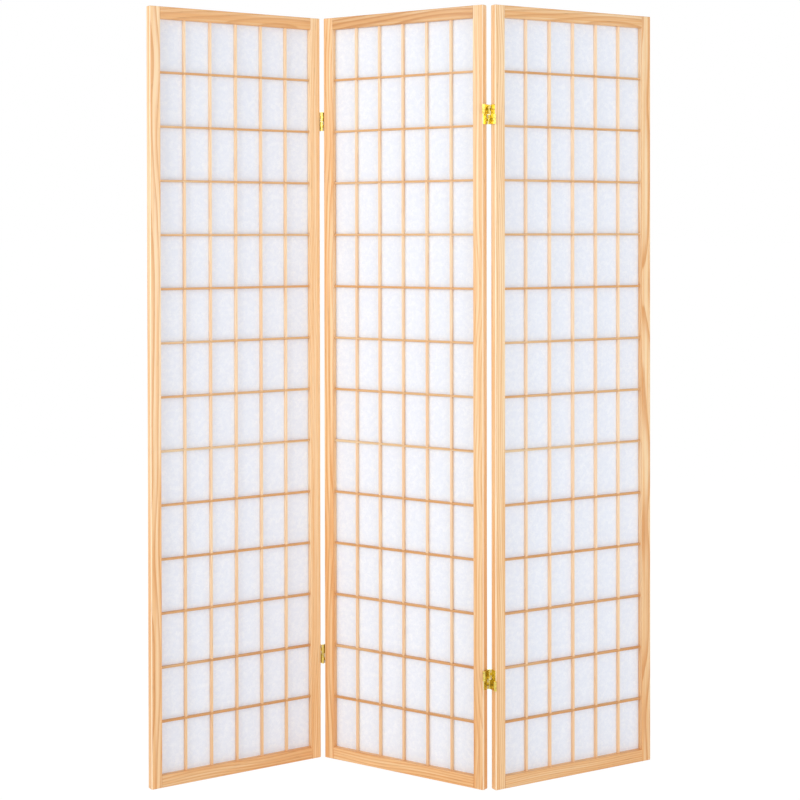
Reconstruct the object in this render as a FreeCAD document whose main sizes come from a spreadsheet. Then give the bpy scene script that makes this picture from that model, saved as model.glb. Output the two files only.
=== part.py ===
"""Three-panel shoji folding screen: pine frames, half-lapped slats, paper, double-action hinges.

The frame of reference stands on the floor under the middle panel: X runs along that panel,
-Y is its front and +Z is up. The left panel swings about the left edge of the middle panel
and the right panel about its right edge, each on two double-action hinges. Lengths are in
millimetres and angles in degrees.
"""

import FreeCAD, Part
import Sketcher
import math
import os
import re

PARTS_FOLDER = "parts"
NEAR = 0.001  # how closely an edge must lie to a line to be picked

# The driving dimensions, one spreadsheet row each: name, value, meaning.
SIZES = [
    ("panel_height", 1784, "floor to top of every panel"),
    ("panel_width", 445, "outer width of one panel"),
    ("frame_thickness", 19, "thickness of stiles and rails"),
    ("stile_width", 26.5, "width of an upright frame member"),
    ("top_rail_height", 28, "height of the top rail"),
    ("bottom_rail_height", 28, "height of the bottom rail"),
    ("tenon_thickness", 7, "rail tenon, through the frame thickness"),
    ("tenon_shoulder", 5, "step above and below the rail tenon"),
    ("tenon_length", 16, "how far a rail tenon enters its stile"),
    ("outer_round", 3, "rounding of a stile's outer arrises"),
    ("inner_round", 1.5, "rounding of the arrises round the opening"),
    ("end_chamfer", 0.8, "bevel round the top and bottom of a stile"),
    ("columns", 6, "paper cells across a panel"),
    ("rows", 14, "paper cells up a panel"),
    ("slat_width", 5, "face width of a slat"),
    ("slat_depth", 7, "depth of a slat, front to back"),
    ("slat_setback", 7, "from the frame's face back to the slats"),
    ("slat_tenon", 4, "how far a slat enters the frame"),
    ("paper_thickness", 0.4, "laminated rice paper"),
    ("rebate_width", 5, "ledge round the back of the opening"),
    ("paper_clearance", 0.5, "from the paper's edge to the rebate's wall"),
    ("hinge_from_top", 248, "top of the panel to the upper hinge's centre"),
    ("hinge_from_bottom", 250, "floor to the lower hinge's centre"),
    ("hinge_height", 45, "height of a hinge leaf"),
    ("barrel_diameter", 6.5, "outside of a hinge knuckle"),
    ("pin_diameter", 3, "hinge pin"),
    ("pin_clearance", 0.05, "running clearance round a pin"),
    ("pin_offset", 2.5, "from the frame's face out to a pin's axis"),
    ("leaf_thickness", 1.1, "plate on the stile's edge"),
    ("link_thickness", 1, "crossing plate between two leaves"),
    ("knuckle_gap", 0.3, "between neighbouring knuckles and plates"),
    ("link_gap", 1, "between the upper and the lower link"),
    ("plate_corner", 1.5, "rounded corner of a hinge leaf"),
    ("screw_diameter", 3, "shank of a hinge screw"),
    ("screw_length", 16, "hinge screw, head included"),
    ("screw_tip", 3, "pointed end of a hinge screw"),
    ("recess_length", 3, "arm to arm of the cross recess"),
    ("recess_width", 0.8, "arm of the cross recess"),
    ("recess_depth", 0.7, "depth of the cross recess"),
    ("driver_clearance", 1, "access hole in a link beyond the screw head"),
    ("left_fold", 65.9, "left panel, turned forward from flat"),
    ("right_fold", 63.4, "right panel, turned back from flat"),
]
SIZE_NAMES = {name for name, _, _ in SIZES}

# What follows from the driving dimensions.
DERIVED = {
    "half_width": "panel_width / 2",
    "half_thickness": "frame_thickness / 2",
    "opening_width": "panel_width - 2 * stile_width",
    "opening_height": "panel_height - top_rail_height - bottom_rail_height",
    "opening_top": "panel_height - top_rail_height",
    "column_pitch": "(opening_width + slat_width) / columns",
    "row_pitch": "(opening_height + slat_width) / rows",
    "first_column": "column_pitch - slat_width / 2 - opening_width / 2",
    "first_row": "bottom_rail_height + row_pitch - slat_width / 2",
    "slat_front": "slat_setback - half_thickness",
    "slat_back": "slat_front + slat_depth",
    "lap_depth": "slat_depth / 2",
    "rebate_depth": "half_thickness - slat_back",
    "paper_lap": "rebate_width - paper_clearance",
    "hinge_rise": "panel_height - hinge_from_top - hinge_from_bottom",
    "barrel_radius": "barrel_diameter / 2",
    "panel_gap": "barrel_diameter",
    "joint_line": "(panel_width + panel_gap) / 2",
    "pin_axis": "half_thickness + pin_offset",
    "plate_half_width": "pin_axis - barrel_radius - knuckle_gap",
    "half_height": "hinge_height / 2",
    "link_start": "link_gap / 2",
    "link_height": "half_height - link_start",
    "knuckle": "(link_height - 2 * knuckle_gap) / 3",
    "middle_knuckle": "link_start + knuckle + knuckle_gap",
    "outer_knuckle_step": "2 * (knuckle + knuckle_gap)",
    "bore_diameter": "pin_diameter + 2 * pin_clearance",
    "leaf_back": "-barrel_radius",
    "leaf_face": "leaf_thickness - barrel_radius",
    "screw_head": "screw_diameter + 2 * leaf_thickness",
    "screw_height": "half_height / 2",
    "pilot_depth": "screw_length - leaf_thickness",
}

doc = FreeCAD.newDocument("ShojiScreen")


# ---------------------------------------------------------------- sheet and expressions

def make_sheet():
    sheet = doc.addObject("Spreadsheet::Sheet", "Sizes")
    for row, (name, value, meaning) in enumerate(SIZES, start=1):
        sheet.set(f"A{row}", meaning)
        sheet.set(f"B{row}", str(value))
        sheet.setAlias(f"B{row}", name)
    doc.recompute()


def formula(text):
    """Spell a formula out in the cells of the sheet."""
    def spell(match):
        word = match.group(0)
        if word in DERIVED:
            return f"({formula(DERIVED[word])})"
        return f"Sizes.{word}" if word in SIZE_NAMES else word
    return re.sub("[a-z_]+", spell, text)


def bind(feature, prop, text):
    feature.setExpression(prop, formula(text))


# ---------------------------------------------------------------- sketches

def sketch_on(body, name, plane, height="0", rise="0"):
    """A sketch on an origin plane, moved along its normal and along its own vertical axis."""
    sketch = body.newObject("Sketcher::SketchObject", name)
    base = next(item for item in body.Origin.OriginFeatures if item.Role == plane)
    sketch.AttachmentSupport = [(base, "")]
    sketch.MapMode = "FlatFace"
    bind(sketch, "AttachmentOffset.Base.z", height)
    bind(sketch, "AttachmentOffset.Base.y", rise)
    return sketch


def front_sketch(body, name, depth, rise="0"):
    """A sketch that faces the front (-Y), at a depth given along +Y."""
    return sketch_on(body, name, "XZ_Plane", f"-({depth})", rise)


def side_sketch(body, name, across, rise="0"):
    """A sketch that faces +X, with Y across it and Z up it."""
    return sketch_on(body, name, "YZ_Plane", across, rise)


def top_sketch(body, name, level):
    """A sketch that faces up."""
    return sketch_on(body, name, "XY_Plane", level)


def dimension(sketch, kind, points, text):
    index = sketch.addConstraint(Sketcher.Constraint(kind, *points, 1.0))
    bind(sketch, f"Constraints[{index}]", text)


def polygon(sketch, corners):
    """A closed outline whose every corner is dimensioned from the sketch's origin."""
    count = len(corners)
    turn = 2 * math.pi / count
    ring = [FreeCAD.Vector(math.cos(i * turn), math.sin(i * turn), 0) for i in range(count)]
    first = sketch.GeometryCount
    for i in range(count):
        sketch.addGeometry(Part.LineSegment(ring[i], ring[(i + 1) % count]), False)
    for i, (across, up) in enumerate(corners):
        line, before = first + i, first + (i - 1) % count
        sketch.addConstraint(Sketcher.Constraint("Coincident", before, 2, line, 1))
        dimension(sketch, "DistanceX", (-1, 1, line, 1), across)
        dimension(sketch, "DistanceY", (-1, 1, line, 1), up)


def rectangle(sketch, left, right, bottom, top):
    polygon(sketch, [(left, bottom), (right, bottom), (right, top), (left, top)])


def circle(sketch, across, up, diameter):
    ring = Part.Circle(FreeCAD.Vector(0, 0, 0), FreeCAD.Vector(0, 0, 1), 1)
    index = sketch.addGeometry(ring, False)
    dimension(sketch, "Diameter", (index,), diameter)
    dimension(sketch, "DistanceX", (-1, 1, index, 3), across)
    dimension(sketch, "DistanceY", (-1, 1, index, 3), up)


# ---------------------------------------------------------------- features

def new_body(name):
    body = doc.addObject("PartDesign::Body", name)
    body.Label = name
    body.AllowCompound = True
    return body


def pad(body, name, sketch, length, symmetric=False):
    feature = body.newObject("PartDesign::Pad", name)
    feature.Profile = sketch
    bind(feature, "Length", length)
    feature.SideType = "Symmetric" if symmetric else "One side"
    return feature


def pocket(body, name, sketch, depth, along_normal=False, symmetric=False):
    """A cut against the sketch's normal, or along it."""
    feature = body.newObject("PartDesign::Pocket", name)
    feature.Profile = sketch
    bind(feature, "Length", depth)
    feature.SideType = "Symmetric" if symmetric else "One side"
    feature.Reversed = along_normal
    return feature


def turned(body, kind, name, sketch):
    """A Revolution or a Groove, once round the sketch's horizontal axis."""
    feature = body.newObject(f"PartDesign::{kind}", name)
    feature.Profile = sketch
    feature.ReferenceAxis = (sketch, ["H_Axis"])
    feature.Angle = 360
    return feature


def repeat(body, name, originals, sketch, axis, *rows):
    """Copies along a sketch axis; each row is a spacing and a count, and rows multiply."""
    pattern = body.newObject("PartDesign::MultiTransform", name)
    pattern.Originals = originals
    steps = []
    for index, (spacing, count) in enumerate(rows):
        step = body.newObject("PartDesign::LinearPattern", f"{name}_row_{index}")
        step.Direction = (sketch, [axis])
        step.Mode = "Spacing"
        bind(step, "Offset", spacing)
        bind(step, "Occurrences", count)
        steps.append(step)
    pattern.Transformations = steps
    body.Tip = pattern
    return pattern


def dress(body, kind, name, base, prop, size, chosen):
    """A Fillet or Chamfer on those edges of the last feature that a test picks."""
    doc.recompute()
    edges = [f"Edge{i}" for i, edge in enumerate(base.Shape.Edges, start=1) if chosen(edge)]
    feature = body.newObject(f"PartDesign::{kind}", name)
    feature.Base = (base, edges)
    bind(feature, prop, size)
    return feature


def runs_along(edge, axis):
    """Whether a straight edge runs along X (0), Y (1) or Z (2)."""
    start, end = edge.firstVertex().Point, edge.lastVertex().Point
    span = [abs(end[i] - start[i]) for i in range(3)]
    return span[axis] > NEAR and sum(span) - span[axis] < NEAR


def on_side(edge, solid, side):
    """Whether an upright edge lies on the -X (-1) or the +X (1) side of a solid."""
    box = solid.Shape.BoundBox
    level = box.XMax if side > 0 else box.XMin
    return runs_along(edge, 2) and abs(edge.CenterOfMass.x - level) < NEAR


# ---------------------------------------------------------------- places

def place(body, across, depth, level, angle):
    body.Placement = FreeCAD.Placement(FreeCAD.Vector(), FreeCAD.Rotation(FreeCAD.Vector(0, 0, 1), 1))
    bind(body, "Placement.Base.x", across)
    bind(body, "Placement.Base.y", depth)
    bind(body, "Placement.Base.z", level)
    bind(body, "Placement.Rotation.Angle", angle)


def place_on_wing(body, side, distance, level, turn="0"):
    """Seat a body on a folded outer panel, at a distance from the hinge line.

    The left panel (side -1) is turned forward about the front pins and the right panel
    (side 1) back about the back pins, so one is the other turned half round.
    """
    fold = "left_fold" if side < 0 else "right_fold"
    across = f"{side} * (joint_line + {distance} * cos({fold}) + pin_axis * sin({fold}))"
    depth = f"{side} * (pin_axis + {distance} * sin({fold}) - pin_axis * cos({fold}))"
    place(body, across, depth, level, f"{fold} + {turn}")


def place_on_panel(body, panel):
    if panel == "middle":
        place(body, "0", "0", "0", "0")
    else:
        place_on_wing(body, SIDES[panel], "joint_line", "0")


def place_on_hinge(body, joint, carrier, level):
    """Seat a hinge piece on the middle panel's half or on the outer panel's half."""
    side = SIDES[joint]
    if carrier == "middle":
        place(body, f"{side} * joint_line", "0", level, "0" if side > 0 else "180")
    else:
        place_on_wing(body, side, "0", level, "180" if side > 0 else "0")


SIDES = {"left": -1, "right": 1}
HINGE_LEVELS = {"lower": "hinge_from_bottom", "upper": "panel_height - hinge_from_top"}


# ---------------------------------------------------------------- wooden frame

def make_stile(panel, end, hinged):
    """An upright member: rounded arrises, paper rebate, mortises, hinge screw holes."""
    side = SIDES[end]
    body = new_body(f"{panel}_panel_{end}_stile")
    outer, inner = f"{side} * half_width", f"{side} * (half_width - stile_width)"
    ledge = f"{side} * (half_width - stile_width + rebate_width)"

    outline = top_sketch(body, "outline", "0")
    rectangle(outline, outer, inner, "-half_thickness", "half_thickness")
    post = pad(body, "post", outline, "panel_height")

    rounded = dress(body, "Fillet", "outer_rounding", post, "Radius", "outer_round",
                    lambda edge: on_side(edge, post, side))
    eased = dress(body, "Fillet", "inner_rounding", rounded, "Radius", "inner_round",
                  lambda edge: on_side(edge, post, -side))
    dress(body, "Chamfer", "end_bevels", eased, "Size", "end_chamfer",
          lambda edge: edge.BoundBox.ZLength < NEAR)

    rebate = front_sketch(body, "rebate_outline", "slat_back")
    rectangle(rebate, inner, ledge, "bottom_rail_height - rebate_width", "opening_top + rebate_width")
    pocket(body, "paper_rebate", rebate, "rebate_depth")

    into_right = side > 0
    mortise = side_sketch(body, "rail_mortise_outline", inner)
    half = "tenon_thickness / 2"
    rectangle(mortise, f"-{half}", half, "tenon_shoulder", "bottom_rail_height - tenon_shoulder")
    rectangle(mortise, f"-{half}", half, "opening_top + tenon_shoulder", "panel_height - tenon_shoulder")
    pocket(body, "rail_mortises", mortise, "tenon_length", along_normal=into_right)

    notch = side_sketch(body, "slat_mortise_outline", inner)
    rectangle(notch, "slat_front", "slat_back", "first_row - slat_width / 2", "first_row + slat_width / 2")
    seat = pocket(body, "slat_mortise", notch, "slat_tenon", along_normal=into_right)
    repeat(body, "slat_mortises", [seat], notch, "V_Axis", ("row_pitch", "rows - 1"))

    if hinged:
        holes = side_sketch(body, "pilot_hole_outline", outer, "hinge_from_bottom")
        circle(holes, "0", "-screw_height", "screw_diameter")
        circle(holes, "0", "screw_height", "screw_diameter")
        drilled = pocket(body, "pilot_holes", holes, "pilot_depth", along_normal=side < 0)
        repeat(body, "pilot_hole_pairs", [drilled], holes, "V_Axis", ("hinge_rise", "2"))
    place_on_panel(body, panel)


def make_rail(panel, level):
    """A cross member between the stiles, with a tenon at each end."""
    top = level == "top"
    body = new_body(f"{panel}_panel_{level}_rail")
    low = "opening_top" if top else "0"
    high = "panel_height" if top else "bottom_rail_height"
    inner = low if top else high
    ledge = "opening_top + rebate_width" if top else "bottom_rail_height - rebate_width"

    outline = side_sketch(body, "outline", "0")
    rectangle(outline, "-half_thickness", "half_thickness", low, high)
    bar = pad(body, "bar", outline, "opening_width", symmetric=True)
    dress(body, "Fillet", "rounding", bar, "Radius", "inner_round", lambda edge: runs_along(edge, 0))

    tongue = side_sketch(body, "tenon_outline", "0")
    rectangle(tongue, "-tenon_thickness / 2", "tenon_thickness / 2",
              f"{low} + tenon_shoulder", f"{high} - tenon_shoulder")
    pad(body, "tenons", tongue, "opening_width + 2 * tenon_length", symmetric=True)

    rebate = front_sketch(body, "rebate_outline", "slat_back")
    rectangle(rebate, "-opening_width / 2", "opening_width / 2", inner, ledge)
    pocket(body, "paper_rebate", rebate, "rebate_depth")

    notch = top_sketch(body, "slat_mortise_outline", inner)
    rectangle(notch, "first_column - slat_width / 2", "first_column + slat_width / 2",
              "slat_front", "slat_back")
    seat = pocket(body, "slat_mortise", notch, "slat_tenon", along_normal=top)
    repeat(body, "slat_mortises", [seat], notch, "H_Axis", ("column_pitch", "columns - 1"))
    place_on_panel(body, panel)


# ---------------------------------------------------------------- lattice and paper

def make_upright_slats(panel):
    """The vertical slats, halved from the front where the cross slats lie in them."""
    body = new_body(f"{panel}_panel_upright_slats")
    section = top_sketch(body, "section", "bottom_rail_height - slat_tenon")
    rectangle(section, "first_column - slat_width / 2", "first_column + slat_width / 2",
              "slat_front", "slat_back")
    slat = pad(body, "slat", section, "opening_height + 2 * slat_tenon")
    repeat(body, "slats", [slat], section, "H_Axis", ("column_pitch", "columns - 1"))

    halving = front_sketch(body, "halving_outline", "slat_front")
    rectangle(halving, "-opening_width / 2", "opening_width / 2",
              "first_row - slat_width / 2", "first_row + slat_width / 2")
    lap = pocket(body, "halving", halving, "lap_depth")
    repeat(body, "halvings", [lap], halving, "V_Axis", ("row_pitch", "rows - 1"))
    place_on_panel(body, panel)


def make_cross_slats(panel):
    """The horizontal slats, halved from the back, so their fronts run unbroken."""
    body = new_body(f"{panel}_panel_cross_slats")
    section = side_sketch(body, "section", "0")
    rectangle(section, "slat_front", "slat_back", "first_row - slat_width / 2", "first_row + slat_width / 2")
    slat = pad(body, "slat", section, "opening_width + 2 * slat_tenon", symmetric=True)
    repeat(body, "slats", [slat], section, "V_Axis", ("row_pitch", "rows - 1"))

    halving = front_sketch(body, "halving_outline", "slat_front + lap_depth")
    rectangle(halving, "first_column - slat_width / 2", "first_column + slat_width / 2",
              "bottom_rail_height", "opening_top")
    lap = pocket(body, "halving", halving, "slat_depth - lap_depth")
    repeat(body, "halvings", [lap], halving, "H_Axis", ("column_pitch", "columns - 1"))
    place_on_panel(body, panel)


def make_paper(panel):
    """One sheet, glued to the backs of the slats and to the ledge of the rebate."""
    body = new_body(f"{panel}_panel_paper")
    outline = front_sketch(body, "outline", "slat_back + paper_thickness")
    rectangle(outline, "-opening_width / 2 - paper_lap", "opening_width / 2 + paper_lap",
              "bottom_rail_height - paper_lap", "opening_top + paper_lap")
    pad(body, "sheet", outline, "paper_thickness")
    place_on_panel(body, panel)


# ---------------------------------------------------------------- double-action hinges
# A hinge has two leaves and two links. The upper link ties the front of one leaf to the
# back of the other, and the lower link crosses it, so the panels fold to either face.
# Each piece is drawn with the hinge flat: its leaf on the -X side, the pins fore and aft.

def make_leaf(joint, level, carrier):
    """A leaf on a stile's edge: plate, one knuckle in front above, one behind below."""
    body = new_body(f"{joint}_{level}_hinge_{carrier}_leaf")
    outline = side_sketch(body, "plate_outline", "leaf_back")
    rectangle(outline, "-plate_half_width", "plate_half_width", "-half_height", "half_height")
    plate = pad(body, "plate", outline, "leaf_thickness")
    dress(body, "Fillet", "plate_corners", plate, "Radius", "plate_corner", lambda edge: runs_along(edge, 0))

    tabs = side_sketch(body, "tab_outline", "leaf_back")
    rectangle(tabs, "-pin_axis", "-plate_half_width + leaf_thickness",
              "middle_knuckle", "middle_knuckle + knuckle")
    rectangle(tabs, "plate_half_width - leaf_thickness", "pin_axis",
              "-middle_knuckle - knuckle", "-middle_knuckle")
    pad(body, "tabs", tabs, "leaf_thickness")

    for name, depth, start in (("front", "-pin_axis", "middle_knuckle"),
                               ("back", "pin_axis", "-middle_knuckle - knuckle")):
        ring = top_sketch(body, f"{name}_knuckle_outline", start)
        circle(ring, "0", depth, "barrel_diameter")
        pad(body, f"{name}_knuckle", ring, "knuckle")

    bore = top_sketch(body, "bore_outline", "0")
    circle(bore, "0", "-pin_axis", "bore_diameter")
    circle(bore, "0", "pin_axis", "bore_diameter")
    pocket(body, "bores", bore, "hinge_height", symmetric=True)

    sink = front_sketch(body, "countersink_outline", "0", "-screw_height")
    polygon(sink, [("leaf_back", "0"), ("leaf_back", "screw_diameter / 2"),
                   ("leaf_face", "screw_head / 2"), ("leaf_face", "0")])
    hole = turned(body, "Groove", "countersink", sink)
    repeat(body, "countersinks", [hole], sink, "V_Axis", ("2 * screw_height", "2"))
    place_on_hinge(body, joint, carrier, HINGE_LEVELS[level])


def make_link(joint, level, carrier, upper):
    """A crossing plate with two knuckles on each pin and a hole that lets a driver through."""
    name = "idle" if carrier == "middle" else "swing"
    body = new_body(f"{joint}_{level}_hinge_{name}_link")
    low = "link_start" if upper else "-half_height"
    outline = side_sketch(body, "plate_outline", "-link_thickness / 2")
    rectangle(outline, "-plate_half_width", "plate_half_width", low, f"{low} + link_height")
    pad(body, "plate", outline, "link_thickness")

    tabs = side_sketch(body, "tab_outline", "-link_thickness / 2")
    rectangle(tabs, "-pin_axis", "pin_axis", low, f"{low} + knuckle")
    tab = pad(body, "tab", tabs, "link_thickness")
    repeat(body, "tabs", [tab], tabs, "V_Axis", ("outer_knuckle_step", "2"))

    ring = top_sketch(body, "knuckle_outline", low)
    circle(ring, "0", "-pin_axis", "barrel_diameter")
    circle(ring, "0", "pin_axis", "barrel_diameter")
    knuckles = pad(body, "knuckles", ring, "knuckle")
    repeat(body, "knuckle_pairs", [knuckles], tabs, "V_Axis", ("outer_knuckle_step", "2"))

    bore = top_sketch(body, "bore_outline", "0")
    circle(bore, "0", "-pin_axis", "pin_diameter")
    circle(bore, "0", "pin_axis", "pin_diameter")
    pocket(body, "bores", bore, "2 * hinge_height", symmetric=True)

    access = side_sketch(body, "access_outline", "0")
    circle(access, "0", "screw_height" if upper else "-screw_height", "screw_head + driver_clearance")
    pocket(body, "access_hole", access, "2 * link_thickness", symmetric=True)
    place_on_hinge(body, joint, carrier, HINGE_LEVELS[level])


def make_swing_pins(joint):
    """The four pins of the lower links, each the full length of its barrel."""
    body = new_body(f"{joint}_swing_pins")
    ring = top_sketch(body, "section", "-half_height")
    circle(ring, "0", "-pin_axis", "pin_diameter")
    circle(ring, "0", "pin_axis", "pin_diameter")
    pins = pad(body, "pins", ring, "link_height")
    upward = side_sketch(body, "upward", "0")
    repeat(body, "both_hinges", [pins], upward, "V_Axis", ("hinge_rise", "2"))
    place_on_hinge(body, joint, joint, "hinge_from_bottom")


def make_idle_pins(joint):
    """The pins of the upper links: whole on the middle panel's side, in two stubs opposite."""
    body = new_body(f"{joint}_idle_pins")
    upward = side_sketch(body, "upward", "0")
    ring = top_sketch(body, "pin_section", "link_start")
    circle(ring, "0", "-pin_axis", "pin_diameter")
    pin = pad(body, "pin", ring, "link_height")
    repeat(body, "pins", [pin], upward, "V_Axis", ("hinge_rise", "2"))
    short = top_sketch(body, "stub_section", "link_start")
    circle(short, "0", "pin_axis", "pin_diameter")
    stub = pad(body, "stub", short, "knuckle")
    repeat(body, "stubs", [stub], upward, "V_Axis",
           ("outer_knuckle_step", "2"), ("hinge_rise", "2"))
    place_on_hinge(body, joint, "middle", "hinge_from_bottom")


def make_screws(joint, carrier):
    """The four countersunk screws that hold two leaves to one stile."""
    body = new_body(f"{joint}_hinge_{carrier}_screws")
    profile = front_sketch(body, "profile", "0", "-screw_height")
    tip = "leaf_face - screw_length"
    polygon(profile, [("leaf_face", "0"), ("leaf_face", "screw_head / 2"),
                      ("leaf_back", "screw_diameter / 2"), (f"{tip} + screw_tip", "screw_diameter / 2"),
                      (tip, "0")])
    shank = turned(body, "Revolution", "shank", profile)
    cross = side_sketch(body, "recess_outline", "leaf_face", "-screw_height")
    arm, half = "recess_length / 2", "recess_width / 2"
    polygon(cross, [(f"-{arm}", f"-{half}"), (f"-{half}", f"-{half}"), (f"-{half}", f"-{arm}"),
                    (half, f"-{arm}"), (half, f"-{half}"), (arm, f"-{half}"),
                    (arm, half), (half, half), (half, arm),
                    (f"-{half}", arm), (f"-{half}", half), (f"-{arm}", half)])
    recess = pocket(body, "recess", cross, "recess_depth")
    repeat(body, "screws", [shank, recess], cross, "V_Axis",
           ("2 * screw_height", "2"), ("hinge_rise", "2"))
    place_on_hinge(body, joint, carrier, "hinge_from_bottom")


# ---------------------------------------------------------------- the whole screen

def make_panel(panel, hinged_ends):
    for end in SIDES:
        make_stile(panel, end, end in hinged_ends)
    for level in ("bottom", "top"):
        make_rail(panel, level)
    make_upright_slats(panel)
    make_cross_slats(panel)
    make_paper(panel)


def make_joint(joint):
    for level in HINGE_LEVELS:
        make_leaf(joint, level, "middle")
        make_leaf(joint, level, joint)
        make_link(joint, level, "middle", upper=True)
        make_link(joint, level, joint, upper=False)
    make_swing_pins(joint)
    make_idle_pins(joint)
    make_screws(joint, "middle")
    make_screws(joint, joint)


def check():
    failed = [item.Label for item in doc.Objects if {"Invalid", "Error"} & set(item.State)]
    if failed:
        raise RuntimeError(f"features that failed: {failed}")
    for body in bodies():
        if body.Shape.isNull() or not body.Shape.isValid():
            raise RuntimeError(f"{body.Label} has no valid shape")


def bodies():
    return [item for item in doc.Objects if item.TypeId == "PartDesign::Body"]


make_sheet()
make_panel("left", ["right"])
make_panel("middle", ["left", "right"])
make_panel("right", ["left"])
for joint_name in SIDES:
    make_joint(joint_name)
doc.recompute()
check()

os.makedirs(PARTS_FOLDER, exist_ok=True)
for piece in bodies():
    piece.Shape.exportStep(os.path.join(PARTS_FOLDER, f"{piece.Label}.step"))
    print(f"{piece.Label}: {len(piece.Shape.Solids)} solids, {piece.Shape.Volume:.0f} mm3")
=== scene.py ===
# %% [markdown]
# # A shoji folding screen
# Three tall wooden lattices, each backed with a sheet of paper, stand in a
# zigzag and are joined by double-action hinges. The construction model brings
# every board, slat, sheet, hinge piece, pin and screw in its true size and
# place, so nothing is modelled here. What makes wood look like wood and paper
# like paper is their finish, and that is the subject: this lesson writes one
# for each board, the slats, the paper and the brass, and sets up the camera,
# the floor and the light.

# %% Load the construction model and keep its box
import math

import bpy
from mathutils import Matrix, Vector

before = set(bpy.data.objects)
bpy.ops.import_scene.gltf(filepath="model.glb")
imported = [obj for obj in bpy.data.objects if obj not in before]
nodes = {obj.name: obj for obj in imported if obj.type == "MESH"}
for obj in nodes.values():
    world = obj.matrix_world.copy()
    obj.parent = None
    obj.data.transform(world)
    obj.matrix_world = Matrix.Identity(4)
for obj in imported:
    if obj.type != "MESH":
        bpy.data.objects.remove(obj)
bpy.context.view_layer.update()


# %% [markdown]
# ## Sizes that the finishes follow
# The grain runs along each board and every slat is a stick of its own, so
# the finishes need the panels' places and turns, and the spacing of the
# slats. They are the construction's own numbers, in metres and degrees.

# %% Panel places and turns
PANEL_WIDTH = 0.445
PANEL_THICKNESS = 0.019
PANEL_HEIGHT = 1.784
STILE_WIDTH = 0.0265
RAIL_WIDTH = 0.028
SLAT_WIDTH = 0.005
COLUMNS, ROWS = 6, 14
BARREL = 0.0065
PIN_OFFSET = 0.0025
FOLD = {"left": 65.9, "right": 63.4}
PANELS = ("left", "middle", "right")

joint_line = (PANEL_WIDTH + BARREL) / 2
pin_axis = PANEL_THICKNESS / 2 + PIN_OFFSET


def panel_place(panel):
    """Centre of a panel on the floor and its turn about the vertical."""
    if panel == "middle":
        return (0.0, 0.0), 0.0
    side, fold = (-1 if panel == "left" else 1), math.radians(FOLD[panel])
    across = joint_line + joint_line * math.cos(fold) + pin_axis * math.sin(fold)
    depth = pin_axis + joint_line * math.sin(fold) - pin_axis * math.cos(fold)
    return (side * across, side * depth), fold


for panel in PANELS:
    print(panel, "panel stands at", [round(v, 4) for v in panel_place(panel)[0]])

# %% [markdown]
# ## The camera
# The photograph was taken from the right of the middle panel, from about four
# metres away. Its upright lines stay parallel, so the camera looks almost
# level and the picture is shifted down instead: a shift keeps uprights
# parallel, where tilting the camera would make them lean together. A fit of
# 64 edges of the frames asks for a shift of 0.38. It would push the screen
# half out of the picture as soon as the camera walks round it, so the fit was
# made again with half of that, and meets the edges to about a pixel, and to
# three and a half at worst. Heading, pitch and roll are in radians, and the
# focal length and the centre of view in pixels of the photograph.

# %% Camera
PICTURE_WIDTH, SENSOR_WIDTH = 800, 36
CAMERA_PLACE = Vector((2.1443, -3.2764, 1.2635))
HEADING, PITCH, ROLL = 0.58416, -0.00922, 0.00161
FOCAL_PIXELS, CENTRE = 1670.7, (395.3, 250.0)

level = Vector((-math.sin(HEADING), math.cos(HEADING), 0.0))
forward = level * math.cos(PITCH) + Vector((0, 0, math.sin(PITCH)))
right = forward.cross(Vector((0, 0, 1))).normalized()
up = right.cross(forward)
tilted_right = right * math.cos(ROLL) - up * math.sin(ROLL)
tilted_up = right * math.sin(ROLL) + up * math.cos(ROLL)
pose = Matrix((tilted_right, tilted_up, -forward)).transposed().to_4x4()
pose.translation = CAMERA_PLACE

bpy.ops.object.camera_add()
camera = bpy.context.object
camera.name = "camera"
camera.matrix_world = pose
camera.data.sensor_width = SENSOR_WIDTH
camera.data.lens = FOCAL_PIXELS * SENSOR_WIDTH / PICTURE_WIDTH
camera.data.shift_x = 0.5 - CENTRE[0] / PICTURE_WIDTH
camera.data.shift_y = CENTRE[1] / PICTURE_WIDTH - 0.5
bpy.context.scene.camera = camera
bpy.context.scene.view_settings.view_transform = "Standard"
print("lens", round(camera.data.lens, 1), "mm, shift", round(camera.data.shift_y, 3))

# %% [markdown]
# ## Writing materials as sums
# A pattern such as wood grain is arithmetic on a place: a distance here, a
# product there. Placing each Math node by hand hides that arithmetic, so a
# small class wraps one number socket and lets Python's own signs add the
# nodes, also where a plain number stands first, as in 1 - mask.

# %% A number on a surface
class Number:
    """One value that varies over a surface; its sums become Math nodes."""

    def __init__(self, finish, socket):
        self.finish, self.socket = finish, socket

    def sum(self, operation, *values):
        node = self.finish.node("ShaderNodeMath", {"operation": operation},
                                dict(enumerate(values)))
        return Number(self.finish, node.outputs[0])

    def __add__(self, other):
        return self.sum("ADD", self, other)

    def __sub__(self, other):
        return self.sum("SUBTRACT", self, other)

    def __rsub__(self, other):
        return self.sum("SUBTRACT", other, self)

    def __mul__(self, other):
        return self.sum("MULTIPLY", self, other)

    def __truediv__(self, other):
        return self.sum("DIVIDE", self, other)

    def __pow__(self, other):
        return self.sum("POWER", self, other)

    __radd__, __rmul__ = __add__, __mul__

    def least(self, other):
        return self.sum("MINIMUM", self, other)

    def whole(self):
        return self.sum("FLOOR", self)

    def part(self):
        return self.sum("FRACT", self)

    def size(self):
        return self.sum("ABSOLUTE", self)

    def between(self, low, high):
        """0 below low, 1 above high, and smooth between them."""
        node = self.finish.node("ShaderNodeMapRange", {"interpolation_type": "SMOOTHSTEP"},
                                {"Value": self, "From Min": low, "From Max": high})
        return Number(self.finish, node.outputs["Result"])


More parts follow.
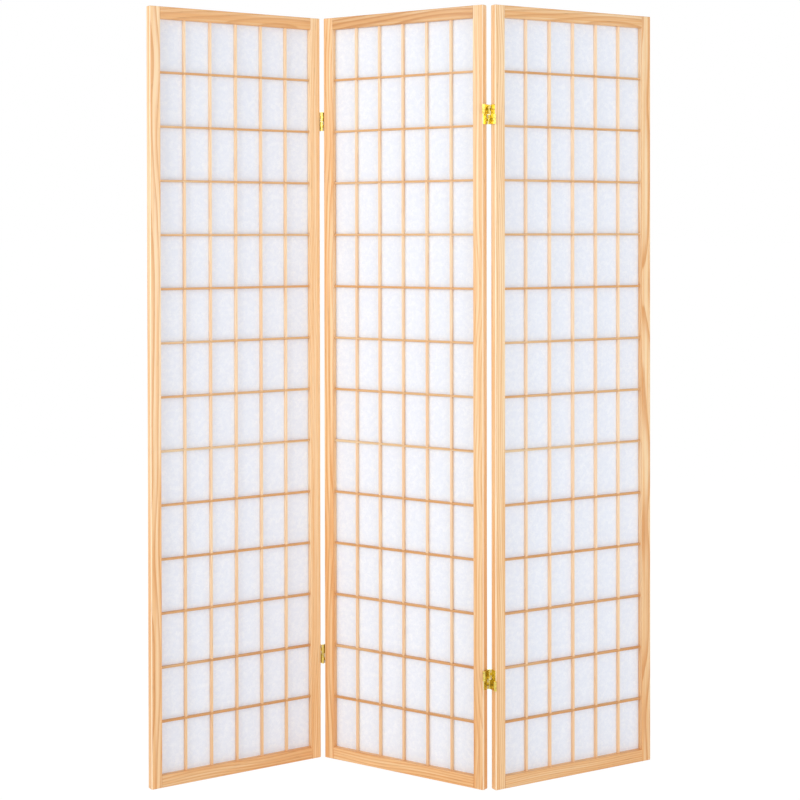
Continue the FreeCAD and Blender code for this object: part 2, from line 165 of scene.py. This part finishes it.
# %% [markdown]
# ## A finish made of nodes
# A second class holds a material, or the world, and its shader. Every node
# comes from its one method, which takes the node's type, then its settings,
# then the values or links of its sockets. The methods after it are the few
# nodes that wood, paper and brass share: a place on a panel, noise, chance,
# blended colours and relief.

# %% A finish
class Finish:
    """A material or a world, its shader, and the one method that adds nodes."""

    def __init__(self, name, store=bpy.data.materials, shader="BSDF_PRINCIPLED",
                 **constants):
        self.material = store.new(name)
        self.material.use_nodes = True
        self.tree = self.material.node_tree
        self.shader = next(n for n in self.tree.nodes if n.type == shader)
        self.output = next(n for n in self.tree.nodes if n.type.startswith("OUTPUT"))
        self.feed(**constants)

    def node(self, kind, settings=None, sockets=None):
        """Add one node: its type, its settings, then its sockets."""
        node = self.tree.nodes.new(kind)
        for name, value in (settings or {}).items():
            setattr(node, name, value)
        for name, value in (sockets or {}).items():
            self.plug(node.inputs[name], value)
        return node

    def plug(self, socket, value):
        """Link a socket to a node's output, or set it to a plain value."""
        value = value.socket if isinstance(value, Number) else value
        if isinstance(value, bpy.types.NodeSocket):
            self.tree.links.new(value, socket)
        elif isinstance(value, tuple) and socket.type == "RGBA" and len(value) == 3:
            socket.default_value = (*value, 1)
        else:
            socket.default_value = value

    def feed(self, **inputs):
        """Plug values into the shader; Base_Color stands for Base Color."""
        for name, value in inputs.items():
            self.plug(self.shader.inputs[name.replace("_", " ")], value)

    def place(self, centre=(0, 0), turn=0.0):
        """Metres along a panel and through it from its middle, and up it."""
        seen = self.node("ShaderNodeTexCoord").outputs["Object"]
        moved = self.node("ShaderNodeVectorMath", {"operation": "SUBTRACT"},
                          {0: seen, 1: (centre[0], centre[1], 0)}).outputs[0]
        turned = self.node("ShaderNodeVectorRotate", {"rotation_type": "Z_AXIS"},
                           {"Vector": moved, "Angle": -turn}).outputs[0]
        axes = self.node("ShaderNodeSeparateXYZ", None, {0: turned})
        return [Number(self, socket) for socket in axes.outputs]

    def point(self, x, y, z):
        """A place made of three numbers, to stretch a pattern by axis."""
        return self.node("ShaderNodeCombineXYZ", None, {0: x, 1: y, 2: z}).outputs[0]

    def noise(self, point, scale=1.0, detail=2.0, roughness=0.5):
        """Soft random values about 0.5; detail adds finer ones to them."""
        node = self.node("ShaderNodeTexNoise", {"noise_dimensions": "3D"},
                         {"Vector": point, "Scale": scale, "Detail": detail,
                          "Roughness": roughness})
        return Number(self, node.outputs["Fac"])

    def chance(self, value):
        """A steady random number from 0 to 1 for each whole value."""
        node = self.node("ShaderNodeTexWhiteNoise", {"noise_dimensions": "1D"}, {"W": value})
        return Number(self, node.outputs["Value"])

    def blend(self, amount, first, second, kind="MIX"):
        """A colour from first, at amount 0, to second, at amount 1."""
        node = self.node("ShaderNodeMix", {"data_type": "RGBA", "blend_type": kind},
                         {"Factor": amount, 6: first, 7: second})
        return node.outputs[2]

    def scale(self, colour, amount):
        """A colour made brighter or darker by a factor."""
        return self.node("ShaderNodeVectorMath", {"operation": "SCALE"},
                         {0: colour, "Scale": amount}).outputs[0]

    def watched(self):
        """1 for what is seen, straight, in a mirror or through glass; else 0."""
        rays = self.node("ShaderNodeLightPath").outputs
        straight, mirrored, through = (Number(self, rays[f"Is {way} Ray"])
                                       for way in ("Camera", "Glossy", "Transmission"))
        return (straight + mirrored + through).between(0.0, 1.0)

    def bump(self, height, depth, strength=1.0):
        """Relief of a depth in metres that feeds the shader's normal."""
        node = self.node("ShaderNodeBump", None,
                         {"Height": height, "Distance": depth, "Strength": strength})
        self.feed(Normal=node.outputs["Normal"])


# %% [markdown]
# ## Pine
# The frame and the slats are clear pine under a thin satin lacquer. Its
# colours are linear red, green and blue: pale spring wood, the orange lines
# of summer wood, creamy and warm streaks, the trunk's pale outer sapwood, a
# painted highlight along the rounded arrises, and a darker orange tone towards the floor.

# %% Colours of pine
SPRING_WOOD = (0.945, 0.665, 0.375)
SUMMER_WOOD = (0.74, 0.35, 0.115)
PALE_STREAK = (0.985, 0.775, 0.51)
WARM_STREAK = (0.87, 0.46, 0.175)
SAPWOOD = (1.0, 0.80, 0.62)
# pale cream painted along the rounded outer arrises as their highlight
PAINTED_ARRIS_HIGHLIGHT = (1.0, 0.87, 0.68)
# darker and more orange, multiplied in most strongly at the floor
FOOT_TONE = (0.90, 0.77, 0.63)
print("summer wood against spring wood:",
      [round(dark / pale, 2) for dark, pale in zip(SUMMER_WOOD, SPRING_WOOD)])

# %% [markdown]
# ### Rings
# Pine lays down a pale layer each spring and a thin orange one each summer,
# so a board shows orange lines that run along it. They are slices of
# cylinders about the heart of the trunk. The finish measures the distance to
# a heart that lies beside the board, lets it wander by a few millimetres over
# a length of about half a metre, and turns every ring width of it into one
# ring, which darkens slowly and ends sharply as the real ones do.

# %% Rings about the heart
WANDER, RIPPLE = 0.034, 0.0022     # metres that the rings stray: slowly, quickly


def ring_lines(finish, crosswise, through, lengthwise, heart, ring_width):
    """0 in spring wood, rising to 1 at the dark edge of each ring."""
    slow = finish.point(crosswise * 6, through * 6, lengthwise * 2.3)
    quick = finish.point(crosswise * 60, through * 60, lengthwise * 2.6)
    wander = finish.noise(slow, 1.0, 1.0) - 0.5
    ripple = finish.noise(quick, 1.0, 3.0) - 0.5
    side = crosswise - heart[0]
    deep = through - heart[1]
    radius = (side * side + deep * deep) ** 0.5 + wander * WANDER + ripple * RIPPLE
    ring = (radius / ring_width).part()
    return ring.between(0.10, 0.90) * (1 - ring.between(0.90, 1.0))


# %% [markdown]
# ### Sticks in a lattice
# All the slats of one direction are one node of the construction, but each
# was a stick of its own. Its number is its place divided by the spacing, cut
# to a whole number, and chance turns that number into a place in the trunk.

# %% Tell the sticks apart
def sort_sticks(finish, crosswise, through, lengthwise, stick, seed):
    """Give every stick its own place in the trunk, and a number from 0 to 1."""
    first, pitch = stick
    number = ((crosswise - (first - pitch / 2)) / pitch).whole()
    luck = finish.chance(number + seed)
    other = finish.chance(number + 41.5)
    return (crosswise - number * pitch + luck * 0.21, through + other * 0.05,
            lengthwise + luck * 3.7, luck)


# %% [markdown]
# ### The whole finish
# Over the rings lie broad streaks, fine fibres and short dark resin ducts,
# all drawn long and thin by stretching the noise along the board. The wood
# turns darker and more orange towards the floor, from mid-height down, and a
# pale line painted along the rounded outer arrises stands in for their
# highlight. The rings and fibres also change the gloss and give the lacquer its faint relief.

# %% Pine finish
OUTER_ROUND = 0.003     # how far in from a panel's outer edges the painted highlight on the rounded arrises reaches
FOOT_TONE_TO = 0.52         # share of the height over which the darker foot tone fades
FOOT_TONE_FADE = 0.68       # share of that tone that is gone above that
PINE_RELIEF = 0.00012   # metres


def pine(name, panel, runs, heart, ring_width=0.0042, figure=1.0, stick=None,
         warmth=0.0, spread=0.4, depth=1.0, sapwood=0.0):
    """Pine whose grain runs "up" or "along" a panel.

    heart is where the trunk's centre lies across and through the board, and
    figure is how strongly the rings show. warmth moves a board towards
    orange, depth scales its brightness, and sapwood is its share of pale
    outer wood. stick is the first place and the spacing of separate sticks
    in one node, whose warmth then differs by spread.
    """
    finish = Finish(name, Specular_IOR_Level=0.4, Coat_Roughness=0.16)
    along, through, rise = finish.place(*panel_place(panel))
    # Darker and more orange towards the floor, fading from mid-height up.
    foot_tone = 1 - FOOT_TONE_FADE * (rise / PANEL_HEIGHT).between(0.0, FOOT_TONE_TO)
    # The rounded outer arrises, where a pale line is painted as their highlight.
    past_side = along.size() - (PANEL_WIDTH / 2 - OUTER_ROUND)
    past_face = through.size() - (PANEL_THICKNESS / 2 - OUTER_ROUND)
    painted_arris_highlight = past_side.least(past_face).between(0.0003, 0.0018)

    lengthwise, crosswise = (rise, along) if runs == "up" else (along, rise)
    tone = warmth
    if stick:
        crosswise, through, lengthwise, luck = sort_sticks(
            finish, crosswise, through, lengthwise, stick, heart[0] * 1000)
        tone = (luck - 0.5) * spread + warmth
    line = ring_lines(finish, crosswise, through, lengthwise, heart, ring_width)

    def drawn_out(across, deep, long, shift=0.0, detail=3.0, roughness=0.5):
        spot = finish.point(crosswise * across, through * deep, lengthwise * long + shift)
        return finish.noise(spot, 1.0, detail, roughness)

    breadth = drawn_out(120, 60, 1.9, roughness=0.55)
    band = drawn_out(210, 90, 1.5, shift=3.1, detail=2.0)
    fibre = drawn_out(1700, 1700, 26, roughness=0.6)
    duct = drawn_out(900, 900, 34, shift=7.3, detail=0.0).between(0.74, 0.80) * line

    warm = (breadth * 0.5 + band * 0.5 + tone * 0.4).between(0.46, 0.74) * 0.9
    colour = finish.blend(breadth.between(0.38, 0.58), PALE_STREAK, SPRING_WOOD)
    colour = finish.blend(warm, colour, WARM_STREAK)
    colour = finish.blend(line * line * (0.22 + 0.62 * breadth) * figure, colour, SUMMER_WOOD)
    colour = finish.blend(sapwood, colour, SAPWOOD)
    # Multiply in the darker, more orange tone towards the floor.
    colour = finish.blend(foot_tone, colour, FOOT_TONE, "MULTIPLY")
    # A painted highlight: the rounded arrises blend towards pale cream.
    colour = finish.blend(painted_arris_highlight * 0.65, colour, PAINTED_ARRIS_HIGHLIGHT)
    colour = finish.scale(colour, depth * (0.93 + 0.14 * fibre - 0.22 * duct))
    finish.feed(Base_Color=colour, Roughness=0.46 - 0.10 * line + 0.10 * fibre,
                Coat_Weight=0.30 - 0.12 * fibre)
    finish.bump(line * 0.5 + fibre * 0.5 - duct, PINE_RELIEF)
    return finish.material


def coat(node, material):
    """Give every material slot of a construction node one finish."""
    for place in nodes[node].material_slots:
        place.material = material


# %% [markdown]
# ## The frames
# Each stile and rail is a board sawn from a different place in the trunk.
# Moving the heart of the rings from board to board is enough: close to the
# face it gives wide, arching figure, far to one side it gives straight lines.

# %% Finish the stiles and rails
# On the top rails the low depth is partly the boards' own tone and partly painted shade: it
# paints in the darker look that their crosswise grain takes in the light.
BOARDS = {
    # panel and board: heart across and through, ring width, figure, warmth, depth
    ("left", "left_stile"): (-0.235, 0.041, 0.0058, 1.5, 0.05, 1.02),
    ("left", "right_stile"): (0.290, -0.052, 0.0040, 1.0, -0.10, 1.02),
    ("left", "bottom_rail"): (0.048, -0.060, 0.0040, 1.1, 0.00, 0.97),
    ("left", "top_rail"): (1.752, 0.046, 0.0044, 1.2, 0.40, 0.94),
    ("middle", "left_stile"): (-0.180, 0.043, 0.0052, 1.4, 0.20, 0.99),
    ("middle", "right_stile"): (0.246, 0.058, 0.0046, 1.0, 0.10, 0.97),
    ("middle", "bottom_rail"): (-0.055, 0.050, 0.0050, 1.2, -0.15, 0.99),
    ("middle", "top_rail"): (1.746, 0.036, 0.0054, 2.6, 0.35, 0.82),
    ("right", "left_stile"): (-0.275, -0.062, 0.0044, 1.1, -0.05, 1.01),
    ("right", "right_stile"): (0.195, 0.045, 0.0062, 1.6, 0.00, 0.99),
    ("right", "bottom_rail"): (0.090, 0.045, 0.0040, 1.1, -0.15, 0.98),
    ("right", "top_rail"): (1.745, 0.048, 0.0048, 1.2, 0.25, 0.93),
}
for (panel, board), (*heart, ring_width, figure, warmth, depth) in BOARDS.items():
    runs = "up" if board.endswith("stile") else "along"
    coat(f"{panel}_panel_{board}",
         pine(f"pine_{panel}_{board}", panel, runs, heart, ring_width, figure,
              warmth=warmth, depth=depth))
print("boards finished:", len(BOARDS))

# %% [markdown]
# ## The slats
# The lattice is ripped from offcuts, so neighbouring slats differ in tone.
# One finish serves all the sticks of a node: it counts them by their spacing
# and gives each number its own place in the trunk. The cross slats come out
# of warmer, more orange stock than the upright ones.

# %% Finish the slats
cell_width = (PANEL_WIDTH - 2 * STILE_WIDTH + SLAT_WIDTH) / COLUMNS
cell_height = (PANEL_HEIGHT - 2 * RAIL_WIDTH + SLAT_WIDTH) / ROWS
first_upright = -PANEL_WIDTH / 2 + STILE_WIDTH + cell_width - SLAT_WIDTH / 2
first_cross = RAIL_WIDTH + cell_height - SLAT_WIDTH / 2
UPRIGHTS = {"left": (0.42, 1.00), "middle": (0.40, 0.96), "right": (0.62, 1.02)}
for panel, (sapwood, depth) in UPRIGHTS.items():     # sapwood and depth
    upright = pine(f"pine_{panel}_upright_slats", panel, "up", (0.31, 0.06),
                   stick=(first_upright, cell_width), warmth=-0.12, spread=0.25,
                   depth=depth, sapwood=sapwood)
    cross = pine(f"pine_{panel}_cross_slats", panel, "along", (0.27, -0.05),
                 stick=(first_cross, cell_height), warmth=0.35, spread=0.4, depth=0.82)
    coat(f"{panel}_panel_upright_slats", upright)
    coat(f"{panel}_panel_cross_slats", cross)
print("slats every", round(cell_width * 1000, 1), "mm across and",
      round(cell_height * 1000, 1), "mm up")

# %% [markdown]
# ## The paper
# Shoji paper is a thin, matt, slightly bluish white sheet in which long
# fibres lie in loose swirls. Lines of equal value in a soft noise are just
# such curls, so the fibres are the places where a noise crosses its middle.
# Three sizes of them, broken up by cloudy thick and thin places, give the
# sheet its felted look, and a faint relief lets grazing light catch it.

# %% Paper finish
PAPER_THIN = (0.812, 0.848, 0.935)
PAPER_THICK = (0.892, 0.918, 0.970)
THREADS = ((120.0, 0.05, 0.0), (260.0, 0.06, 4.1), (520.0, 0.09, 9.7))   # scale, width, drift
PAPER_RELIEF = 0.0002   # metres


def paper(name, panel):
    """Felted paper: cloudy thickness with three sizes of threads in it."""
    finish = Finish(name, Specular_IOR_Level=0.25)
    along, through, rise = finish.place(*panel_place(panel))
    spot = finish.point(along, through * 0.2, rise)
    clouds = finish.noise(spot, 95.0, 3.0, 0.6)
    threads = None
    for scale, width, drift in THREADS:
        here = finish.point(along + drift, through, rise * 0.8 - drift)
        near = 1 - ((finish.noise(here, scale, 1.0) - 0.5).size() / width).between(0.0, 1.0)
        near = near * finish.noise(here, scale * 0.45, 2.0).between(0.42, 0.62)
        threads = near if threads is None else threads + near * 0.8
    thickness = clouds.between(0.30, 0.70) * 0.55 + threads * 0.42
    colour = finish.blend(thickness.between(0.05, 0.95), PAPER_THIN, PAPER_THICK)
    finish.feed(Base_Color=colour, Roughness=0.92 - 0.12 * clouds)
    finish.bump(thickness, PAPER_RELIEF, 0.6)
    return finish.material


for panel in PANELS:
    coat(f"{panel}_panel_paper", paper(f"rice_paper_{panel}", panel))
print("paper sheets:", len(PANELS))

# %% [markdown]
# ## The brass
# The hinges are pressed and plated brass. Plating is bright, but it shows
# the fine lines of its polishing, small dents from handling, and a browner
# bloom where fingers and air have reached it. Those three go into the
# roughness, the relief and the colour.

# %% Brass finish
BRASS_RELIEF = 0.00018   # metres


def brass(name, colour, tarnish, polish):
    """Plated brass: polish is its least roughness, tarnish the bloom's colour."""
    finish = Finish(name, Metallic=1.0)
    along, through, rise = finish.place()
    spot = finish.point(along, through, rise)
    bloom = finish.noise(spot, 160.0, 4.0, 0.65)
    lines = finish.noise(finish.point(along * 500, through * 500, rise * 9000), 1.0, 2.0, 0.6)
    dents = finish.noise(spot, 700.0, 2.0)
    finish.feed(Base_Color=finish.blend(bloom.between(0.44, 0.72) * 0.8, colour, tarnish),
                Roughness=polish + 0.16 * bloom + 0.08 * lines)
    finish.bump(lines * 0.35 + dents, BRASS_RELIEF, 0.8)
    return finish.material


hinge_brass = brass("hinge_brass", (0.83, 0.67, 0.17), (0.34, 0.21, 0.04), 0.08)
pin_brass = brass("pin_and_screw_brass", (0.72, 0.54, 0.20), (0.32, 0.20, 0.06), 0.18)
for node in nodes:
    if node.endswith(("_leaf", "_link")):
        coat(node, hinge_brass)
    elif node.endswith(("_pins", "_screws")):
        coat(node, pin_brass)
print("materials so far:", len(bpy.data.materials))

# %% [markdown]
# ## Floor and surroundings
# The photograph has a pure white ground. The floor is plain white paint that
# the camera sees as nearly self-lit, which whitens it without sending any
# more light onto the screen, and a share of real shading keeps the shadows.
# The sky does the same: white to the camera and to reflections, softer to
# everything that it lights.

# %% Floor
FLOOR_SIZE, FLOOR_GAP = 400, 0.0005     # metres; the gap keeps the feet clear of it
SELF_LIT = 0.92                         # share of white that the camera sees
WHITE_LEVEL = 1.035                     # brings the far floor to the sky's white

bpy.ops.object.select_all(action="DESELECT")
bpy.ops.mesh.primitive_plane_add(size=FLOOR_SIZE, location=(0, 0, -FLOOR_GAP))
floor = bpy.context.object
floor.name = "floor"
bpy.ops.object.transform_apply(location=True, rotation=True, scale=True)
floor_paint = Finish("floor_paint", Base_Color=(0.96, 0.96, 0.96), Roughness=0.9)
white = floor_paint.node("ShaderNodeEmission", None,
                         {"Color": (1.0, 1.0, 1.0), "Strength": WHITE_LEVEL})
mixed = floor_paint.node("ShaderNodeMixShader", None,
                         {0: floor_paint.watched() * SELF_LIT,
                          1: floor_paint.shader.outputs[0], 2: white.outputs[0]})
floor_paint.plug(floor_paint.output.inputs["Surface"], mixed.outputs[0])
floor.data.materials.append(floor_paint.material)
print("floor:", FLOOR_SIZE, "m wide")

# %% Sky
SKY_LIGHT = 0.60
sky = Finish("studio_sky", bpy.data.worlds, "BACKGROUND", Color=(1.0, 1.0, 1.0))
sky.feed(Strength=SKY_LIGHT + sky.watched() * (1 - SKY_LIGHT))
bpy.context.scene.world = sky.material
print("sky light", SKY_LIGHT)

# %% [markdown]
# ## Lamps
# A large soft lamp stands in front of the middle panel and to the left of
# the camera, so the middle panel is the brightest and the folds turn away
# from the light. A weaker one from the right opens the outer panels, and one
# behind the screen lights its back and leaves its front as it is.

# %% Lamps
AIM = Vector((0, 0, 0.9))     # half-way up the middle panel
LAMPS = {
    # lamp: place, width and height in metres, power in watts, colour
    "key_lamp": ((-1.2, -4.2, 1.9), 2.4, 2.2, 77, (1.0, 0.985, 0.95)),
    "back_lamp": ((-1.6, 4.2, 1.8), 2.4, 2.2, 40, (0.98, 0.99, 1.0)),
    "fill_lamp": ((4.4, -1.2, 1.4), 2.0, 2.4, 54, (0.955, 0.975, 1.0)),
}
for name, (place, width, height, power, colour) in LAMPS.items():
    bpy.ops.object.light_add(type="AREA", location=place)
    lamp = bpy.context.object
    lamp.name = name
    lamp.rotation_euler = (AIM - Vector(place)).to_track_quat("-Z", "Y").to_euler()
    lamp.data.shape = "RECTANGLE"
    lamp.data.size, lamp.data.size_y = width, height
    lamp.data.energy = power
    lamp.data.color = colour
print("lamps:", len(LAMPS))
